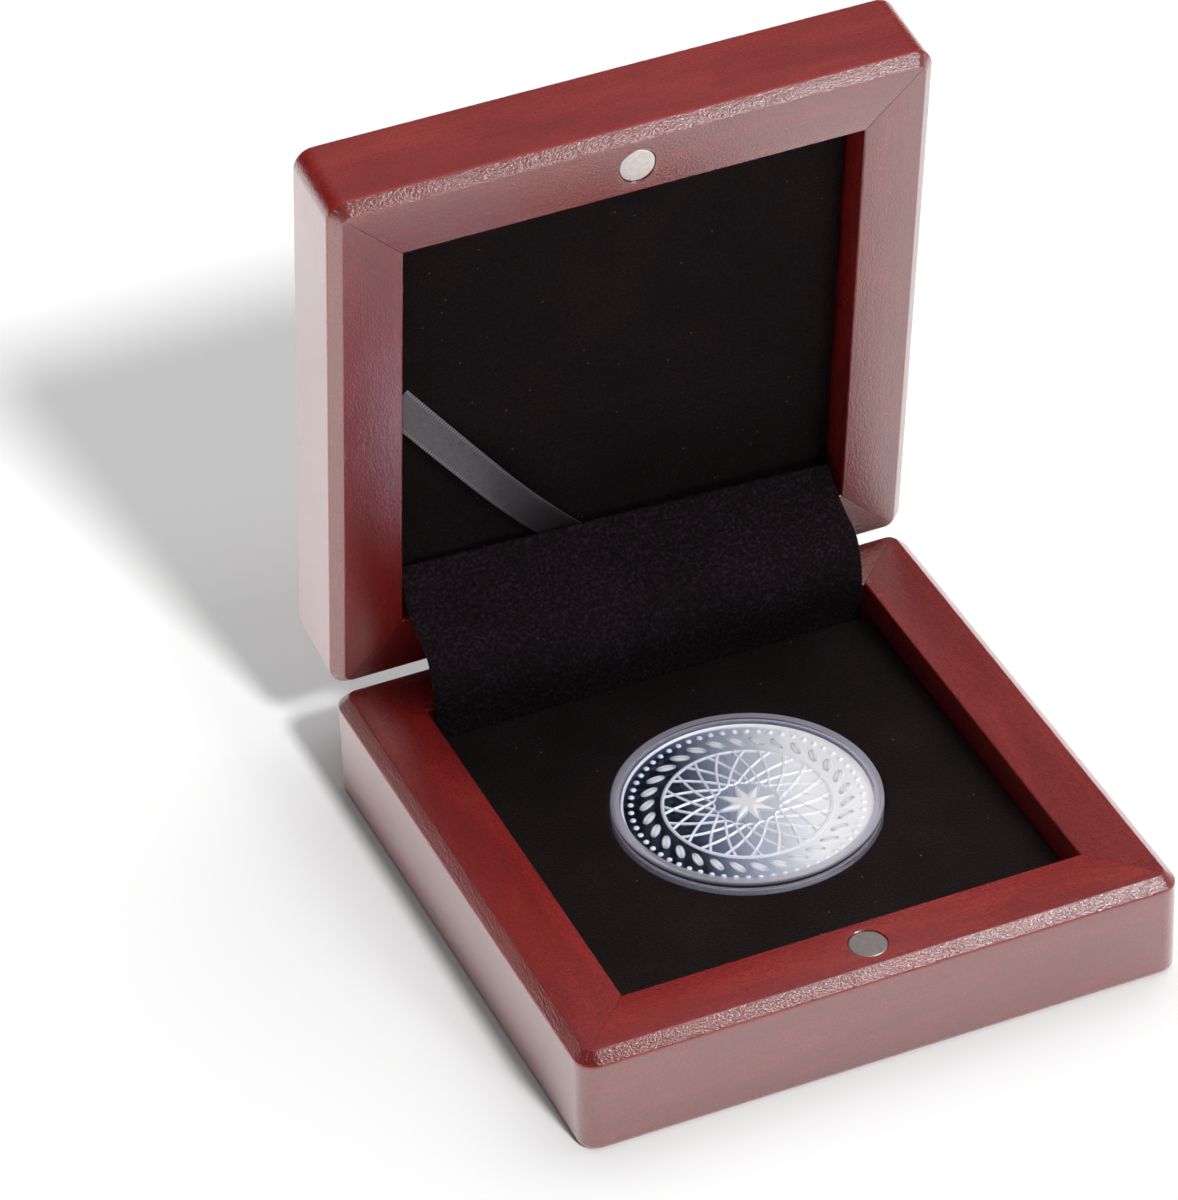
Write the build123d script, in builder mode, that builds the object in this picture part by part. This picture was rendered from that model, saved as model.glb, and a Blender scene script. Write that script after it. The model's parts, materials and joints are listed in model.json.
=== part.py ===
from build123d import *

import math
import os

# Coin display case: a mitred hardwood base and lid on a butt hinge, a velvet-covered insert that
# holds one coin capsule, and a padded lid with a certificate ribbon. Millimetres.
# Origin: centre of the base's underside. +Z is up, the front is -Y, the hinge is at the rear.
# The lid is modelled standing open, leaning on the stop of its hinge.

# Wooden case
case_width = 90.0
base_height = 16.6
lid_height = 14.5
rail_width = 10.5
corner_round = 3.0
outer_round = 1.0
rim_bevel = 1.6
bevel_softening = 0.45
panel_thickness = 3.0
rebate_width = 4.0
panel_fit = 0.1
closing_gap = 0.2

# Hinge
open_angle = 82.5
pivot_inset = 0.6
pivot_rise = 0.98
hinge_length = 40.0
hinge_knuckles = 5
knuckle_radius = 0.8
knuckle_gap = 0.1
pin_radius = 0.4
pin_clearance = 0.05
pin_head_length = 0.4
leaf_thickness = 0.55
leaf_reach = 7.0
leaf_fit = 0.1
barrel_room = 0.3
stop_reach = 1.25
stop_clearance = 0.05

# Hinge screws
screw_spacing = 14.0
screws_per_leaf = 3
screw_inset = 4.5
screw_length = 6.0
screw_radius = 0.6
screw_head_radius = 1.1
screw_head_angle = 82.0
screw_fit = 0.05

# Magnets
magnet_radius = 2.7
magnet_inset = 5.95
magnet_thickness = 2.5
magnet_fit = 0.08
magnet_recess = 0.1

# Covers and lining
felt_thickness = 0.8
velvet_thickness = 0.6
velvet_round = 0.5
lining_fit = 0.2
insert_depth = 4.8
lid_lining_depth = 4.5
lining_roll = 1.5

# Flap over the hinge
flap_side_room = 0.8
flap_thickness = 0.8
flap_rise = 9.4
flap_fold_radius = 2.2
flap_turn_radius = 2.6
flap_edge_clearance = 0.5
flap_reach = 6.2
flap_end_depth = 3.2

# Certificate ribbon, laid across one corner of the lid lining
ribbon_width = 5.0
ribbon_thickness = 0.3
ribbon_side_reach = 36.6
ribbon_rear_reach = 30.6

# Coin and capsule
coin_radius = 17.9
coin_thickness = 2.6
coin_rim_width = 1.2
coin_relief = 0.3
coin_play = 0.1
capsule_floor = 1.4
capsule_roof = 1.4
capsule_wall = 0.6
capsule_wall_gap = 0.08
capsule_cap_wall = 0.62
capsule_headroom = 0.3
capsule_bevel = 0.4
capsule_proud = 1.7
capsule_seat_fit = 0.3
capsule_offset_y = 0.5

# Coin pattern: an eight-pointed star inside a line circle and a ring of beads
star_points = 8
star_radius = 8.4
star_waist_radius = 3.4
line_circle_inset = 5.3
line_circle_width = 0.5
bead_count = 36
bead_radius = 0.5
bead_circle_inset = 2.7

well_width = case_width - 2 * rail_width
pocket_radius = coin_radius + coin_play
dish_radius = pocket_radius + capsule_wall
cap_bore_radius = dish_radius + capsule_wall_gap
capsule_radius = cap_bore_radius + capsule_cap_wall
capsule_height = capsule_floor + coin_thickness + capsule_headroom + capsule_roof
panel_width = well_width + 2 * (rebate_width - panel_fit)
lid_rim_height = base_height + closing_gap
pivot_y = case_width / 2 - pivot_inset
pivot_z = base_height + pivot_rise

base_rim = Plane((0, 0, base_height))
hinge_turn = (
    Location((0, pivot_y, pivot_z))
    * Location((0, 0, 0), (-open_angle, 0, 0))
    * Location((0, -pivot_y, -pivot_z))
)
lid_rim = Plane(hinge_turn * Location((0, 0, lid_rim_height)))
pivot_in_lid = pivot_z - lid_rim_height

screw_hole_radius = screw_radius + screw_fit
head_hole_radius = screw_head_radius + screw_fit
below = (Align.CENTER, Align.CENTER, Align.MAX)

side_angles = {"front": -90, "right": 0, "rear": 90, "left": 180}


def outward(rim, depth):
    """Axis that runs from a rim plane into its half of the case."""
    return Axis(rim.origin, rim.z_dir * math.copysign(1, depth))


def rail_frame(rim, depth, skin):
    """Square frame on one side of a rim plane, rebated at its far side for a panel and a skin."""
    height = abs(depth)
    along = outward(rim, depth)
    with BuildPart() as frame:
        with BuildSketch(rim):
            RectangleRounded(case_width, case_width, corner_round)
        extrude(amount=depth)
        fillet(frame.faces().sort_by(along)[-1].outer_wire().edges(), radius=outer_round)
        chamfer(frame.faces().sort_by(along)[0].outer_wire().edges(), length=rim_bevel)
        bevel_faces = frame.faces().sort_by(along)[1:9]
        fillet(bevel_faces.edges().filter_by(lambda edge: on_bevel_border(edge, rim)), radius=bevel_softening)
        with BuildSketch(rim):
            Rectangle(well_width, well_width)
        extrude(amount=depth, mode=Mode.SUBTRACT)
        with BuildSketch(rim.offset(depth)):
            Rectangle(well_width + 2 * rebate_width, well_width + 2 * rebate_width)
        extrude(amount=-math.copysign(panel_thickness + skin, depth), mode=Mode.SUBTRACT)
    return frame.part


def on_bevel_border(edge, rim):
    """True for the edges that part the rim's bevel from the rim and from the outer walls."""
    drop = abs(rim.to_local_coords(edge.center()).Z)
    return drop < 0.001 or abs(drop - rim_bevel) < 0.001


def side_wedge(rim, depth, side):
    """What lies between the two mitre planes of one side."""
    turn = side_angles[side]
    with BuildPart() as wedge:
        with BuildSketch(rim):
            with BuildLine():
                Polyline(
                    (0, 0),
                    Vector(case_width, -case_width).rotate(Axis.Z, turn),
                    Vector(case_width, case_width).rotate(Axis.Z, turn),
                    close=True,
                )
            make_face()
        extrude(amount=depth)
    return wedge.part


def magnet_hole(rim, depth):
    """Blind hole for a magnet, halfway along the front rail."""
    with BuildPart() as hole:
        with BuildSketch(rim):
            with Locations((0, magnet_inset - case_width / 2)):
                Circle(magnet_radius + magnet_fit)
        extrude(amount=math.copysign(magnet_thickness + magnet_recess, depth))
    return hole.part


def screw_spots(rim, depth):
    """Where each screw head lies flush in a rim, with Z pointing out of the wood."""
    out_of_wood = -math.copysign(1, depth)
    face = Plane(rim.origin, x_dir=rim.x_dir, z_dir=rim.z_dir * out_of_wood)
    row = out_of_wood * (pivot_y - screw_inset)
    first = -screw_spacing * (screws_per_leaf - 1) / 2
    return [face * Location((first + i * screw_spacing, row)) for i in range(screws_per_leaf)]


def leaf_mortise(rim, depth):
    """Shallow seat for a hinge leaf in a rear rail's rim, with the pilot holes of its screws."""
    inner_edge = pivot_y - leaf_reach - leaf_fit
    mortise_width = case_width / 2 - inner_edge
    with BuildPart() as mortise:
        with BuildSketch(rim):
            with Locations((0, inner_edge + mortise_width / 2)):
                Rectangle(hinge_length + 2 * leaf_fit, mortise_width)
        extrude(amount=math.copysign(leaf_thickness, depth))
        for spot in screw_spots(rim, depth):
            with Locations(spot):
                Cylinder(screw_hole_radius, screw_length + screw_fit, align=below)
    return mortise.part


def barrel_groove():
    """Room round the hinge's knuckles in the lid's rear rail."""
    groove_length = hinge_length + 2 * (pin_head_length + leaf_fit)
    with BuildPart() as groove:
        with Locations(lid_rim * Location((0, pivot_y, pivot_in_lid), (0, 90, 0))):
            Cylinder(knuckle_radius + barrel_room, groove_length)
    return groove.part


def write(piece, name):
    piece.label = name
    export_step(piece, f"parts/{name}.step")


os.makedirs("parts", exist_ok=True)

# Rails: two mitred frames, each cut into its four sides
base_depth = -base_height
cuts = {
    "base_front_rail": [magnet_hole(base_rim, base_depth)],
    "base_rear_rail": [leaf_mortise(base_rim, base_depth)],
    "lid_front_rail": [magnet_hole(lid_rim, lid_height)],
    "lid_rear_rail": [leaf_mortise(lid_rim, lid_height), barrel_groove()],
}
halves = {"base": (base_rim, base_depth, felt_thickness), "lid": (lid_rim, lid_height, 0)}
for half, (rim, depth, skin) in halves.items():
    frame = rail_frame(rim, depth, skin)
    for side in side_angles:
        name = f"{half}_{side}_rail"
        wedge = side_wedge(rim, depth, side)
        with BuildPart() as rail:
            add(frame)
            add(wedge, mode=Mode.INTERSECT)
            for cut in cuts.get(name, []):
                add(cut, mode=Mode.SUBTRACT)
        write(rail.part, name)

# Panels, let into the rebates of the frames
panel_top = felt_thickness + panel_thickness
with BuildPart() as base_panel:
    with BuildSketch(Plane.XY.offset(felt_thickness)):
        Rectangle(panel_width, panel_width)
    extrude(amount=panel_thickness)
write(base_panel.part, "base_panel")

with BuildPart() as base_felt:
    with BuildSketch():
        Rectangle(panel_width, panel_width)
    extrude(amount=felt_thickness)
write(base_felt.part, "base_felt")

lid_panel_depth = lid_height - panel_thickness
with BuildPart() as lid_panel:
    with BuildSketch(lid_rim.offset(lid_panel_depth)):
        Rectangle(panel_width, panel_width)
    extrude(amount=panel_thickness)
write(lid_panel.part, "lid_panel")

# Insert: a board with a round recess, covered in velvet that also lines the recess
insert_top = base_height - insert_depth
recess_radius = capsule_radius + capsule_seat_fit
recess_floor = insert_top - (capsule_height - capsule_proud)
board_hole_radius = recess_radius + velvet_thickness
insert_width = well_width - 2 * lining_fit
insert_length = insert_width - flap_thickness - lining_fit
insert_centre_y = (insert_length - insert_width) / 2
with BuildPart() as insert_board:
    with BuildSketch(Plane.XY.offset(panel_top)):
        with Locations((0, insert_centre_y)):
            Rectangle(insert_width - 2 * velvet_thickness, insert_length - 2 * velvet_thickness)
    extrude(amount=insert_top - velvet_thickness - panel_top)
    with BuildSketch(Plane.XY.offset(recess_floor - velvet_thickness)):
        with Locations((0, capsule_offset_y)):
            Circle(board_hole_radius)
    extrude(amount=insert_top, mode=Mode.SUBTRACT)
write(insert_board.part, "insert_board")

with BuildPart() as insert_velvet:
    with BuildSketch(Plane.XY.offset(panel_top)):
        with Locations((0, insert_centre_y)):
            Rectangle(insert_width, insert_length)
    extrude(amount=insert_top - panel_top)
    with BuildSketch(Plane.XY.offset(recess_floor)):
        with Locations((0, capsule_offset_y)):
            Circle(recess_radius)
    extrude(amount=insert_top, mode=Mode.SUBTRACT)
    fillet(insert_velvet.faces().sort_by(Axis.Z)[-1].edges(), radius=velvet_round)
    add(insert_board.part, mode=Mode.SUBTRACT)
write(insert_velvet.part, "insert_velvet")

# Lid lining: a soft pad under velvet
pad_depth = lid_lining_depth + velvet_thickness
lining_width = well_width - 2 * lining_fit
into_lid = outward(lid_rim, lid_height)
with BuildPart() as lid_pad:
    with BuildSketch(lid_rim.offset(pad_depth)):
        Rectangle(lining_width - 2 * velvet_thickness, lining_width - 2 * velvet_thickness)
    extrude(amount=lid_panel_depth - pad_depth)
    fillet(lid_pad.faces().sort_by(into_lid)[0].edges(), radius=lining_roll - velvet_thickness)
write(lid_pad.part, "lid_pad")

with BuildPart() as lid_lining:
    with BuildSketch(lid_rim.offset(lid_lining_depth)):
        Rectangle(lining_width, lining_width)
    extrude(amount=lid_panel_depth - lid_lining_depth)
    fillet(lid_lining.faces().sort_by(into_lid)[0].edges(), radius=lining_roll)
    add(lid_pad.part, mode=Mode.SUBTRACT)
write(lid_lining.part, "lid_lining")

# Ribbon across the rear left corner of the lining, its ends tucked in at the rails
lining_half = lining_width / 2
ribbon_side_end = (-lining_half, lining_half - ribbon_side_reach)
ribbon_rear_end = (-lining_half + ribbon_rear_reach, lining_half)
ribbon_run = Vector(*ribbon_rear_end) - Vector(*ribbon_side_end)
ribbon_centre = (Vector(*ribbon_rear_end) + Vector(*ribbon_side_end)) / 2
ribbon_turn = math.degrees(math.atan2(ribbon_run.Y, ribbon_run.X))
with BuildPart() as certificate_ribbon:
    with BuildSketch(lid_rim.offset(lid_lining_depth - ribbon_thickness)):
        Rectangle(lining_width, lining_width)
        with Locations(ribbon_centre):
            Rectangle(2 * ribbon_run.length, ribbon_width, rotation=ribbon_turn, mode=Mode.INTERSECT)
    extrude(amount=ribbon_thickness)
write(certificate_ribbon.part, "certificate_ribbon")

# Magnets, a pair that meet when the case is shut
for half, (rim, depth, skin) in halves.items():
    inward = math.copysign(1, depth)
    with BuildPart() as magnet:
        with BuildSketch(rim.offset(inward * magnet_recess)):
            with Locations((0, magnet_inset - case_width / 2)):
                Circle(magnet_radius)
        extrude(amount=inward * magnet_thickness)
    write(magnet.part, f"{half}_magnet")

# Hinge: two leaves let into the rims, with knuckles taken in turn, and one pin
station = hinge_length / hinge_knuckles
knuckle_length = station - knuckle_gap
knuckle_bore = pin_radius + pin_clearance
stations = [(i - (hinge_knuckles - 1) / 2) * station for i in range(hinge_knuckles)]
base_stations, lid_stations = stations[0::2], stations[1::2]
along_pin = Location((0, 0, 0), (0, 90, 0))

# The lid leaf's heel meets this edge of the base leaf when the lid stands open.
heel_half = 0.28
heel_lean = math.radians(90 - open_angle)
heel_drop = (pivot_rise - heel_half * math.sin(heel_lean)) / math.cos(heel_lean)
heel_face = heel_drop * math.sin(heel_lean) - heel_half * math.cos(heel_lean)
stop_edge = pivot_y + heel_face - stop_clearance
web_edge = pivot_y - knuckle_radius
leaf_edge = pivot_y - leaf_reach

with BuildPart() as hinge_base_leaf:
    with BuildSketch(base_rim):
        with Locations((0, (leaf_edge + stop_edge) / 2)):
            Rectangle(hinge_length, stop_edge - leaf_edge)
    extrude(amount=-leaf_thickness)
    for x in base_stations:
        with BuildSketch(base_rim.offset(-leaf_thickness)):
            with Locations((x, (web_edge + pivot_y) / 2)):
                Rectangle(knuckle_length, knuckle_radius)
        extrude(amount=leaf_thickness + pivot_rise)
        with Locations(Location((x, pivot_y, pivot_z)) * along_pin):
            Cylinder(knuckle_radius, knuckle_length)
    with Locations(Location((0, pivot_y, pivot_z)) * along_pin):
        Cylinder(knuckle_bore, hinge_length, mode=Mode.SUBTRACT)
    for spot in screw_spots(base_rim, base_depth):
        with Locations(spot):
            CounterSinkHole(screw_hole_radius, head_hole_radius, leaf_thickness, screw_head_angle)
write(hinge_base_leaf.part, "hinge_base_leaf")

with BuildPart() as hinge_lid_leaf:
    lid_leaf_edge = web_edge - 1.5 * knuckle_gap
    with BuildSketch(lid_rim):
        with Locations((0, (leaf_edge + lid_leaf_edge) / 2)):
            Rectangle(hinge_length, lid_leaf_edge - leaf_edge)
        for x in lid_stations:
            with Locations((x, (leaf_edge + pivot_y) / 2)):
                Rectangle(knuckle_length, leaf_reach)
    extrude(amount=leaf_thickness)
    for x in lid_stations:
        with BuildSketch(lid_rim.offset(pivot_in_lid - heel_half)):
            with Locations((x, pivot_y + stop_reach / 2)):
                Rectangle(knuckle_length, stop_reach)
        extrude(amount=2 * heel_half)
        with Locations(lid_rim * Location((x, pivot_y, pivot_in_lid)) * along_pin):
            Cylinder(knuckle_radius, knuckle_length)
    with Locations(Location((0, pivot_y, pivot_z)) * along_pin):
        Cylinder(knuckle_bore, hinge_length, mode=Mode.SUBTRACT)
    for spot in screw_spots(lid_rim, lid_height):
        with Locations(spot):
            CounterSinkHole(screw_hole_radius, head_hole_radius, leaf_thickness, screw_head_angle)
write(hinge_lid_leaf.part, "hinge_lid_leaf")

with BuildPart() as hinge_pin:
    with Locations(Location((0, pivot_y, pivot_z)) * along_pin):
        Cylinder(pin_radius, hinge_length + 2 * pin_head_length)
    head_offset = (hinge_length + pin_head_length) / 2
    for x in (-head_offset, head_offset):
        with Locations(Location((x, pivot_y, pivot_z)) * along_pin):
            Cylinder(knuckle_radius - pin_clearance, pin_head_length)
write(hinge_pin.part, "hinge_pin")

# Countersunk screws, a row in each leaf
screw_head_height = (screw_head_radius - screw_radius) / math.tan(math.radians(screw_head_angle / 2))
with BuildPart() as hinge_screw:
    with BuildSketch(Plane.XZ):
        with BuildLine():
            Polyline(
                (0, 0),
                (screw_head_radius, 0),
                (screw_radius, -screw_head_height),
                (screw_radius, 2 * screw_radius - screw_length),
                (0, -screw_length),
                close=True,
            )
        make_face()
    revolve(axis=Axis.Z)
for half, (rim, depth, skin) in halves.items():
    with BuildPart() as screws:
        with Locations(screw_spots(rim, depth)):
            add(hinge_screw.part)
    write(screws.part, f"hinge_{half}_screws")

# Flap: glued behind the insert, rising over both rear rails and ending in front of the lid lining
flap_centre_y = well_width / 2 - lining_fit / 2 - flap_thickness / 2
flap_stand_off = flap_edge_clearance + flap_thickness / 2
lid_edge_corner = lid_rim * Location((0, well_width / 2 - flap_stand_off, -flap_stand_off))
lid_end_corner = lid_rim * Location((0, well_width / 2 - flap_reach, flap_end_depth))
flap_corners = [
    (flap_centre_y, panel_top + flap_thickness / 2),
    (flap_centre_y, base_height + flap_rise),
    (lid_edge_corner.position.Y, lid_edge_corner.position.Z),
    (lid_end_corner.position.Y, lid_end_corner.position.Z),
]
with BuildPart() as hinge_flap:
    with BuildSketch(Plane.YZ):
        with BuildLine():
            FilletPolyline(*flap_corners, radius=[flap_fold_radius, flap_turn_radius])
            offset(amount=flap_thickness / 2, side=Side.BOTH, kind=Kind.ARC)
        make_face()
    extrude(amount=well_width / 2 - flap_side_room, both=True)
write(hinge_flap.part, "hinge_flap")

# Capsule: a lower dish and an upper cap that presses over its wall
seat = Plane((0, capsule_offset_y, recess_floor))
cap_underside = capsule_height - capsule_roof
with BuildPart() as capsule_lower_shell:
    with BuildSketch(seat):
        Circle(capsule_radius)
    extrude(amount=capsule_floor)
    chamfer(capsule_lower_shell.faces().sort_by(Axis.Z)[0].edges(), length=capsule_bevel)
    with BuildSketch(seat.offset(capsule_floor)):
        Circle(dish_radius)
        Circle(pocket_radius, mode=Mode.SUBTRACT)
    extrude(amount=cap_underside - capsule_floor)
write(capsule_lower_shell.part, "capsule_lower_shell")

with BuildPart() as capsule_upper_shell:
    with BuildSketch(seat.offset(capsule_floor)):
        Circle(capsule_radius)
    extrude(amount=capsule_height - capsule_floor)
    chamfer(capsule_upper_shell.faces().sort_by(Axis.Z)[-1].edges(), length=capsule_bevel)
    with BuildSketch(seat.offset(capsule_floor)):
        Circle(cap_bore_radius)
    extrude(amount=cap_underside - capsule_floor, mode=Mode.SUBTRACT)
write(capsule_upper_shell.part, "capsule_upper_shell")

# Coin: raised rim, and a raised star, line circle and beads on its upper face
coin_field = capsule_floor + coin_thickness - coin_relief
line_circle_radius = coin_radius - line_circle_inset
with BuildPart() as coin:
    with BuildSketch(seat.offset(capsule_floor)):
        Circle(coin_radius)
    extrude(amount=coin_thickness - coin_relief)
    with BuildSketch(seat.offset(coin_field)):
        Circle(coin_radius)
        Circle(coin_radius - coin_rim_width, mode=Mode.SUBTRACT)
        with PolarLocations(coin_radius - bead_circle_inset, bead_count):
            Circle(bead_radius)
    extrude(amount=coin_relief)
    with BuildSketch(seat.offset(coin_field)):
        Circle(line_circle_radius + line_circle_width / 2)
        Circle(line_circle_radius - line_circle_width / 2, mode=Mode.SUBTRACT)
        with BuildLine():
            Polyline(
                *[
                    Vector(star_waist_radius if i % 2 else star_radius, 0).rotate(
                        Axis.Z, i * 180 / star_points
                    )
                    for i in range(2 * star_points)
                ],
                close=True,
            )
        make_face()
    extrude(amount=coin_relief)
write(coin.part, "coin")
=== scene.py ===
import json
import math

import bmesh
import bpy
import numpy as np
from mathutils import Matrix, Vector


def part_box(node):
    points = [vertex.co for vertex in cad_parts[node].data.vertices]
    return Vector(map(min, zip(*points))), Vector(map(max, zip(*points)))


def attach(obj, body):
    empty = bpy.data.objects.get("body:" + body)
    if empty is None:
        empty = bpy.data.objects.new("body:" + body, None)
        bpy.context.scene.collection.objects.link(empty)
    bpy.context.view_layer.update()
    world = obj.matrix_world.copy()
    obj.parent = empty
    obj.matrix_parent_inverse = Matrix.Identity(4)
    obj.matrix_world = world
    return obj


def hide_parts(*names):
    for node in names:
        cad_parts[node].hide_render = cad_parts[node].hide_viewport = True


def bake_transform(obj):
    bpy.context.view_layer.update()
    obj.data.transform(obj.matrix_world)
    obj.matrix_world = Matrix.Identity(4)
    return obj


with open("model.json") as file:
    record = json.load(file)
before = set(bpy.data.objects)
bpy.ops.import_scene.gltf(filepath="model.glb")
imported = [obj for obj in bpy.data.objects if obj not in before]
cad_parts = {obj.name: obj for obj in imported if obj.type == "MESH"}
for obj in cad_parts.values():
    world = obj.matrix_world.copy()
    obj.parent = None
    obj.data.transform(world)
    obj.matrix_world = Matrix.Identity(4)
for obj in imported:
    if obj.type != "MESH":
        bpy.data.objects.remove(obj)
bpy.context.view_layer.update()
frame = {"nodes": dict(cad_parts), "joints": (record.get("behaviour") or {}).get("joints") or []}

mm = 0.001
hinge = next(joint for joint in frame["joints"] if joint["name"] == "lid_hinge")
pivot = np.array(hinge["pos_m"])
openAngle = math.radians(hinge["range_deg"][1])


def meshPoints(thing):
    # Vertices of a piece or a CAD node as one array
    flat = np.empty(3 * len(thing.data.vertices))
    thing.data.vertices.foreach_get("co", flat)
    return flat.reshape(-1, 3)


def turnLid(points, angle):
    # Turn about the hinge pin: y' = y cos a - z sin a and z' = y sin a + z cos a, both measured from the pin
    y, z = points[..., 1] - pivot[1], points[..., 2] - pivot[2]
    turnedY = pivot[1] + y * math.cos(angle) - z * math.sin(angle)
    turnedZ = pivot[2] + y * math.sin(angle) + z * math.cos(angle)
    return np.stack([points[..., 0], turnedY, turnedZ], -1)


def shutBox(node):
    # Lowest and highest corner of a lid node, with the lid shut
    points = turnLid(meshPoints(frame["nodes"][node]), openAngle)
    return points.min(0), points.max(0)


def roundFit(low, high):
    # Radius and middle of an upright round thing that fills a box
    return (high[0] - low[0]) / 2, np.array([(low[0] + high[0]) / 2, (low[1] + high[1]) / 2])


def halfBox(half, part):
    # Lowest and highest corner of a part of the base, or of the shut lid
    return (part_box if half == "base" else shutBox)(part.format(half))


# Lid pieces are worked out with the lid shut, where its rim lies level, and then turned open.
lidLow, lidHigh = shutBox("lid_front_rail")
case = {
    "half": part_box("base_right_rail")[1][0],
    "well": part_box("base_right_rail")[0][0],
    "baseRim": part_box("base_front_rail")[1][2],
    "lidRim": lidLow[2],
    "lidTop": lidHigh[2],
}
halves = {
    "base": {"rim": case["baseRim"], "into": -1, "height": case["baseRim"]},
    "lid": {"rim": case["lidRim"], "into": 1, "height": case["lidTop"] - case["lidRim"]},
}
sideTurns = {"front": 0, "right": 90, "rear": 180, "left": 270}


def hexColour(code):
    # sRGB hex to linear: (c + 0.055) / 1.055 to the power 2.4, or c / 12.92 near black
    srgb = np.array([int(code[i:i + 2], 16) for i in (1, 3, 5)]) / 255
    linear = np.where(srgb > 0.04045, ((srgb + 0.055) / 1.055) ** 2.4, srgb / 12.92)
    return (*linear.tolist(), 1.0)


def addNode(tree, kind, inputs=None, **settings):
    # A node with its settings; an input is a plain value, or another node's output to link from
    node = tree.nodes.new(kind)
    for name, value in settings.items():
        setattr(node, name, value)
    for name, value in (inputs or {}).items():
        if isinstance(value, bpy.types.NodeSocket):
            tree.links.new(value, node.inputs[name])
        else:
            node.inputs[name].default_value = value
    return node


def doMath(tree, operation, *values, clamp=False):
    # Result of a Math node, its inputs in order
    node = addNode(tree, "ShaderNodeMath", dict(enumerate(values)), operation=operation, use_clamp=clamp)
    return node.outputs[0]


def mixValues(tree, factor, first, second):
    node = addNode(tree, "ShaderNodeMix", {"Factor": factor, 2: first, 3: second}, data_type="FLOAT")
    return node.outputs[0]


def mixColours(tree, factor, first, second):
    # A colour is a hex code or another node's output
    first, second = (hexColour(colour) if isinstance(colour, str) else colour for colour in (first, second))
    return addNode(tree, "ShaderNodeMix", {"Factor": factor, 6: first, 7: second}, data_type="RGBA").outputs[2]


def mapRange(tree, value, fromLow, fromHigh, toLow=0.0, toHigh=1.0):
    inputs = {"Value": value, "From Min": fromLow, "From Max": fromHigh, "To Min": toLow, "To Max": toHigh}
    return addNode(tree, "ShaderNodeMapRange", inputs).outputs[0]


def colourRamp(tree, value, stops):
    # Colour stops as {position: hex}
    node = addNode(tree, "ShaderNodeValToRGB", {"Fac": value})
    elements = node.color_ramp.elements
    while len(elements) < len(stops):
        elements.new(0.5)
    for element, (place, code) in zip(elements, sorted(stops.items())):
        element.position, element.color = place, hexColour(code)
    return node.outputs["Color"]


def noiseAt(tree, place, scale, detail=3.0, distortion=0.0):
    inputs = {"Vector": place, "Scale": scale, "Detail": detail, "Distortion": distortion}
    return addNode(tree, "ShaderNodeTexNoise", inputs).outputs[0]


def stretched(tree, place, scale):
    return addNode(tree, "ShaderNodeMapping", {"Vector": place, "Scale": scale}).outputs[0]


def bumpOf(tree, height, strength, distance):
    inputs = {"Height": height, "Strength": strength, "Distance": distance}
    return addNode(tree, "ShaderNodeBump", inputs).outputs[0]


def objectPlace(tree):
    return addNode(tree, "ShaderNodeTexCoord").outputs["Object"]


def readAttribute(tree, name):
    return addNode(tree, "ShaderNodeAttribute", attribute_name=name).outputs["Fac"]


def newMaterial(name):
    material = bpy.data.materials.new(name)
    material.use_nodes = True
    material.node_tree.nodes.clear()
    return material, material.node_tree


def endMaterial(tree, shader):
    addNode(tree, "ShaderNodeOutputMaterial", {"Surface": shader.outputs[0]})


def surface(tree, inputs):
    endMaterial(tree, addNode(tree, "ShaderNodeBsdfPrincipled", inputs))


print("materials")


def lacqueredMahogany(name, look):
    # Mahogany, stained dark red, sanded and sprayed with satin lacquer. The stain shows soft streaks and a fine
    # speckle of pores; the lacquer lies over the pores and breaks its shine into grains. "timber" holds millimetres
    # along, across and into the board, "tone" how much darker the board is made, partly from uneven stain and
    # partly as painted shade, and "bevel" is 1 on the bevelled edge, where open pores make the lacquer matt and
    # grainy. The arris attribute is 1 on the edge below the bevel, where a painted shade line is drawn: a bright
    # red with almost no lacquer shine, so it reads as a dark red line standing in for the dark reflection along
    # that edge.
    material, tree = newMaterial(name)
    timber = addNode(tree, "ShaderNodeAttribute", attribute_name="timber").outputs["Vector"]
    tone, bevel, arris = (readAttribute(tree, key) for key in ("tone", "bevel", "arris"))
    grain = {
        key: noiseAt(tree, stretched(tree, timber, look[key]), 1.0, distortion=look["wander"])
        for key in ("streak", "fibre", "pore")
    }
    stain = doMath(tree, "MULTIPLY", grain["streak"], look["streakShare"])
    for key in ("fibre", "pore"):
        stain = doMath(tree, "MULTIPLY_ADD", grain[key], look[f"{key}Share"], stain)
    middle = 0.5 * (look["streakShare"] + look["fibreShare"] + look["poreShare"])
    depth = mapRange(tree, stain, middle - look["stainSpread"], middle + look["stainSpread"])
    # Painted shade: the line under the bevel takes a flat red, and its coat weight is cut below so it loses its
    # shine
    colour = mixColours(tree, arris, colourRamp(tree, depth, look["stain"]), look["arris"])
    relief = doMath(tree, "MULTIPLY_ADD", grain["fibre"], look["fibreRelief"], grain["pore"])
    normal = bumpOf(tree, relief, 1.0, mixValues(tree, bevel, look["poreDepth"], look["bevelPoreDepth"]))
    # Painted shade: boards with a higher tone are darkened towards the darker colour
    surface(tree, {
        "Base Color": mixColours(tree, tone, colour, look["darkBoardAndShade"]),
        "Roughness": mixValues(tree, bevel, look["roughness"], look["bevelRoughness"]),
        "IOR": 1.5,
        "Specular IOR Level": look["specular"],
        "Coat Weight": mapRange(tree, arris, 0.0, 1.0, look["coat"], look["arrisShadeCoat"]),
        "Coat Roughness": look["coatRoughness"],
        "Coat IOR": look["coatIor"],
        "Normal": normal,
        "Coat Normal": normal,
    })
    return material


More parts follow.
